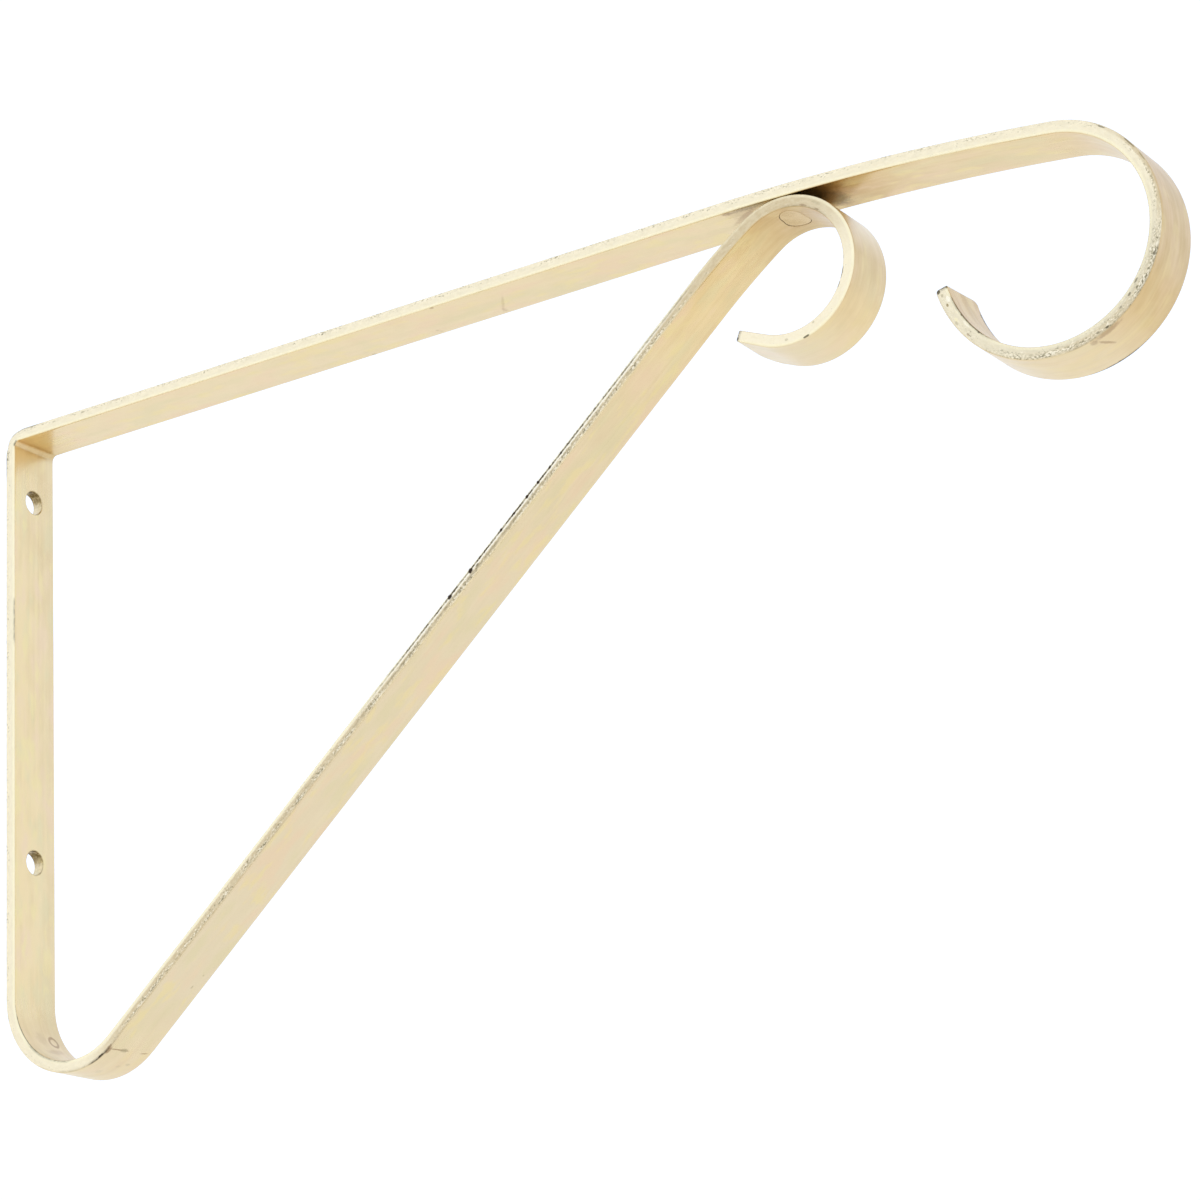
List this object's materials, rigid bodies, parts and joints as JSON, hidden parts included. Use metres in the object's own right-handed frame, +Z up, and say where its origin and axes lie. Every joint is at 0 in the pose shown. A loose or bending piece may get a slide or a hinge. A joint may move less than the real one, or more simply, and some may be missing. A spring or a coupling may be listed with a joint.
{
  "type": "hanging plant bracket",
  "caption": "Wall bracket of one bent flat bar: end hook, level arm, wall leg with screw holes, diagonal brace and a small scroll riveted under the arm.",
  "frame": {"origin": "on the back of the wall leg, in the plane of the wall, midway between the two screw holes and in the middle of the strap's width", "axes": "+X out of the wall along the arm towards the hook, +Z up, +Y across the strap"},
  "size_m": [0.3429, 0.0158, 0.1811],
  "materials": {
    "strap": "satin bright brass plating over mild steel",
    "rivet": "plated with the strap, dressed flush"
  },
  "bodies": {
    "root": {"strap": "strap", "rivet": "rivet"}
  },
  "joints": []
}
